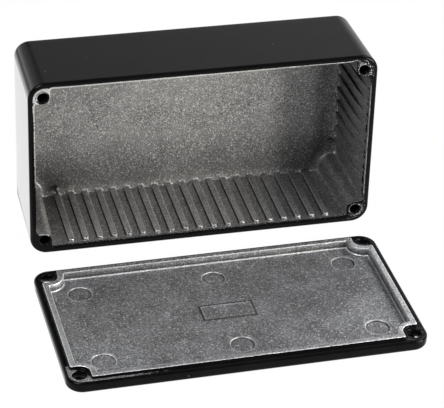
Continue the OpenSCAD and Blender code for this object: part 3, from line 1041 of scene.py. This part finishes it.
def casting_finish(name, metal_dark, metal_light, warm, grain_size, clouds):
    """Bare blasted metal under black paint: paint plus noise times spray decides which of the two shows. A
    chance for each grain paints some as glints, and clouds is how much the metal's tone wanders."""
    material, wire = new_finish(name)
    place = wire.node("ShaderNodeTexCoord", out="Object")
    paint, spray, wear_and_painted_light = [wire.node("ShaderNodeAttribute", {"attribute_name": key}, out="Fac")
                             for key in ("paint", "spray", "wear_and_painted_light")]
    specks, dents = place.noise(speck_size, 2.0, 0.6), place.noise(grain_size, 2.0, 0.65)
    patches = place.noise(patch_size, 3.0, 0.6)
    cells = wire.node("ShaderNodeTexVoronoi", {}, {"Vector": place, "Scale": 1 / grain_size}, out="Color")
    chance = wire.node("ShaderNodeSeparateColor", {}, {0: cells})
    coat = ((paint + spray * ((specks - 0.5) * 5.0 + (patches - 0.5) * 1.5)) * 3.0 + 0.5).clamped()

    # Painted glints: grains picked by chance are lightened, and the brightest bare ones are mixed towards
    # light grey.
    grain_tone_and_glints = ((chance - 0.8) * 5.0).clamped() - (0.25 - chance).clamped()
    painted_glint_flecks = ((chance - 0.92) * 12.0).clamped() * (1 - coat)
    # Below zero the value darkens the metal towards near black: grime and painted shade.
    grime_and_shade = (0 - wear_and_painted_light).clamped()
    grain = ((dents - 0.5) * 2.4 + grain_tone_and_glints * (0.8 + wear_and_painted_light)) * (1 - grime_and_shade * 0.5) + (patches - 0.5) * clouds
    sparkle = (grain + 0.38 + wear_and_painted_light * specks * 1.2).clamped()
    polish_and_highlight = ((wear_and_painted_light * specks * 1.8 - 0.3).clamped() + painted_glint_flecks * 0.45).clamped()
    metal = polish_and_highlight.between(sparkle.between(grey(metal_dark), grey(metal_light, warm)), polished_and_highlight_grey)
    metal = (grime_and_shade - 0.5).clamped().between(metal, grime_and_shade_grey)

    dust = ((chance - 0.9998) * 9000.0).clamped() * 0.2
    black = dust.between(patches.between(deep_black, thin_black), dusty_grey)
    metal_rough = 0.52 + (specks - 0.5) * 0.3 - polish_and_highlight * 0.15
    roughness = metal_rough * (1 - coat) + coat * (0.07 + patches * 0.06)
    height = dents * (1 - coat) * (1 - polish_and_highlight * 0.6) + specks * coat * 0.05
    normal = wire.node("ShaderNodeBump", {}, {"Strength": 0.7, "Distance": dent_depth, "Height": height})
    surface = wire.node("ShaderNodeBsdfPrincipled", {}, {
        "Base Color": coat.between(metal, black), "Roughness": roughness, "Metallic": 1 - coat,
        "Specular IOR Level": paint_specular, "Normal": normal})
    wire.node("ShaderNodeOutputMaterial", {}, {"Surface": surface})
    return material


dress(box, casting_finish("box_casting_finish", metal_dark=0.11, metal_light=0.54, warm=0.012,
                          grain_size=0.36 * MM, clouds=0.5))
dress(lid, casting_finish("lid_casting_finish", metal_dark=0.13, metal_light=0.55, warm=-0.02,
                          grain_size=0.44 * MM, clouds=0.8))

# %% [markdown]
# The screws are steel with a thin bright zinc plate. It is even, with faint clouds from the bath and fine
# turning marks, so its colour hardly changes and most of its look comes from the roughness.

# %% Zinc plate
plate_cloud, plate_grain, plate_depth = 1 / 900, 1 / 6000, 0.02 * MM


def zinc_finish(name):
    """Plated steel: cloudy roughness and a fine grain."""
    material, wire = new_finish(name)
    place = wire.node("ShaderNodeTexCoord", out="Object")
    clouds, grain = place.noise(plate_cloud, 3.0), place.noise(plate_grain, 2.0)
    normal = wire.node("ShaderNodeBump", {}, {"Strength": 0.2, "Distance": plate_depth, "Height": grain})
    surface = wire.node("ShaderNodeBsdfPrincipled", {}, {
        "Base Color": clouds.between((0.5, 0.51, 0.53, 1), (0.7, 0.71, 0.73, 1)),
        "Roughness": 0.2 + clouds * 0.25, "Metallic": 1.0, "Normal": normal})
    wire.node("ShaderNodeOutputMaterial", {}, {"Surface": surface})
    return material


dress(screws, zinc_finish("zinc_plate_finish"))

# %% [markdown]
# The camera stands to the left of the mouth and looks down on it. A point that it looks at, a distance and
# three angles say how the view was chosen better than a bare matrix does.

# %% Camera
camera_aim = Vector((7.978, -13.169, 10.096)) * MM
camera_distance, camera_lens, camera_sensor = 765.69 * MM, 177.28, 36
camera_azimuth, camera_elevation, camera_roll = -14.81, 32.024, 2.21


def direction(azimuth, elevation):
    """A unit vector, from angles in degrees: azimuth counts from the mouth's direction to the right."""
    turn, lift = azimuth * DEGREE, elevation * DEGREE
    return Vector((np.sin(turn) * np.cos(lift), -np.cos(turn) * np.cos(lift), np.sin(lift)))


away = direction(camera_azimuth, camera_elevation)
level = Vector((0, 0, 1)).cross(away).normalized()
facing = Matrix((level, away.cross(level), away)).transposed()
turned = Matrix.Rotation(camera_roll * DEGREE, 3, away) @ facing
camera = bpy.data.objects.new("camera", bpy.data.cameras.new("camera"))
camera.data.lens = camera_lens
camera.data.sensor_width = camera_sensor
camera.data.sensor_fit = "HORIZONTAL"
camera.matrix_world = Matrix.Translation(camera_aim + away * camera_distance) @ turned.to_4x4()
bpy.context.scene.collection.objects.link(camera)
bpy.context.scene.camera = camera
print("camera at", [round(v, 4) for v in camera.location])

# %% [markdown]
# The studio is a white table in a white room. Seen by the camera or in a reflection, the table is plain
# white, with only a trace of the shadows. Right under the lid it doesn't glow, so that no light creeps out
# there.

# %% Table
table_half, table_glow = 3.0, 0.985
lid_margin, glow_fade = 3.0, 0.5 * MM

bpy.context.scene.view_settings.view_transform = "Standard"
floor_mesh = bpy.data.meshes.new("table")
floor_mesh.from_pydata([(x * table_half, y * table_half, 0) for x, y in QUARTERS], [], [(0, 1, 2, 3)])
floor = bpy.data.objects.new("table", floor_mesh)
bpy.context.scene.collection.objects.link(floor)
table_finish, wire = new_finish("white_table")
seen, mirrored, through = [wire.node("ShaderNodeLightPath", out=kind + " Ray")
                           for kind in ("Is Camera", "Is Glossy", "Is Transmission")]
glow = wire.node("ShaderNodeEmission", {}, {"Color": grey(1.0), "Strength": 1.0})
matt = wire.node("ShaderNodeBsdfDiffuse", {}, {"Color": grey(0.8)})
spot = wire.node("ShaderNodeTexCoord", out="Object")


def beyond_lid(axis):
    """How far a spot of the table lies beyond the lid's edge along one axis of the lid, in metres."""
    dot = {"operation": "DOT_PRODUCT"}
    along = wire.node("ShaderNodeVectorMath", dot, {0: spot, 1: lid_axes[axis]}, out="Value")
    middle = lid_origin @ lid_axes[axis] * MM
    return abs(along - middle) - (lid_reach[axis] - lid_margin) * MM


uncovered = (wire.maths("MAXIMUM", beyond_lid(0), beyond_lid(1)) * (1 / glow_fade)).clamped()
share = (seen + mirrored + through).clamped() * uncovered * table_glow
table_look = wire.node("ShaderNodeMixShader", {}, {0: share, 1: matt, 2: glow})
wire.node("ShaderNodeOutputMaterial", {}, {"Surface": table_look})
dress(floor, table_finish)

# %% [markdown]
# The black paint shows little but what it mirrors, so the room is part of the finish. It is dark in front
# and overhead and bright behind the box, more so towards both sides, with a low bank of light at the left.

# %% Room
room_floor, room_back, room_sides, room_left = 0.02, 0.37, 2.3, 3.0

room = bpy.data.worlds.new("white_room")
bpy.context.scene.world = room
room.use_nodes = True
room.node_tree.nodes.clear()
wire = Wire(room.node_tree)
toward = wire.node("ShaderNodeTexCoord", out="Generated")
side, back, lift = [wire.node("ShaderNodeSeparateXYZ", {}, {0: toward}, out=axis) for axis in "XYZ"]
left_bank = (0 - side).clamped() * (1 - lift * 4).clamped() * room_left
backdrop = (back * 1.4 - 0.3).clamped() * (room_back + abs(side) * room_sides + left_bank)
light = wire.node("ShaderNodeBackground", {}, {"Color": grey(1.0), "Strength": room_floor + backdrop})
wire.node("ShaderNodeOutputWorld", {}, {"Surface": light})
print("the room is made of", len(room.node_tree.nodes), "nodes")

# %% [markdown]
# A soft box low at the right front is the key: it lights the middle of the inside, and the right wall
# throws its shadow on the right end. A lamp high on the left opens the shadows, one high on the right
# lights the lid, and one in front and one behind fill in. Two flat panels lie on the table at the left,
# like white cards that brighten the left wall.

# %% Lamps
COOL, WARM, WARMER, WHITE = (0.985, 0.98, 1.02), (1.025, 1.0, 0.94), (1.03, 1.0, 0.93), (1, 1, 1)
box_middle = Vector((0, 0, 30 * MM))
panel_lift = 1.0


def lamp(name, width, length, power, colour, location, turn):
    """An area lamp that the camera doesn't see. Width and length are in metres."""
    light = bpy.data.lights.new(name, "AREA")
    light.shape = "RECTANGLE"
    light.size = width
    light.size_y = length
    light.energy = power
    light.color = colour
    stand = bpy.data.objects.new(name, light)
    stand.location = location
    stand.rotation_euler = turn
    stand.visible_camera = False
    bpy.context.scene.collection.objects.link(stand)
    print(name, "gives", power, "watts")


def soft_box(name, azimuth, elevation, distance, size, power, colour=COOL):
    """A lamp that faces the box. Distance and size are in metres, and one number is a square."""
    toward = direction(azimuth, elevation)
    place = toward * distance + box_middle
    lamp(name, size[0], size[-1], power, colour, place, toward.to_track_quat("Z", "Y").to_euler())


soft_box("key_soft_box", 50, 9.5, 0.4, (0.18, 0.11), 1.95, WARM)
soft_box("left_soft_box", -50, 50, 0.45, (0.2,), 1.85)
soft_box("right_soft_box", 85, 55, 1.0, (0.42,), 2.95)
soft_box("front_soft_box", 35, 10, 1.0, (0.36,), 1.35, WARMER)
soft_box("back_soft_box", 110, 40, 0.45, (0.2,), 0.5)
for name, width, length, power, x, y in (("left_low_panel", 40, 240, 0.030, -81, 80),
                                         ("left_far_panel", 60, 180, 0.042, -131, 170)):
    lamp(name, width * MM, length * MM, power, WHITE, Vector((x, y, panel_lift)) * MM, (np.pi, 0, 0))
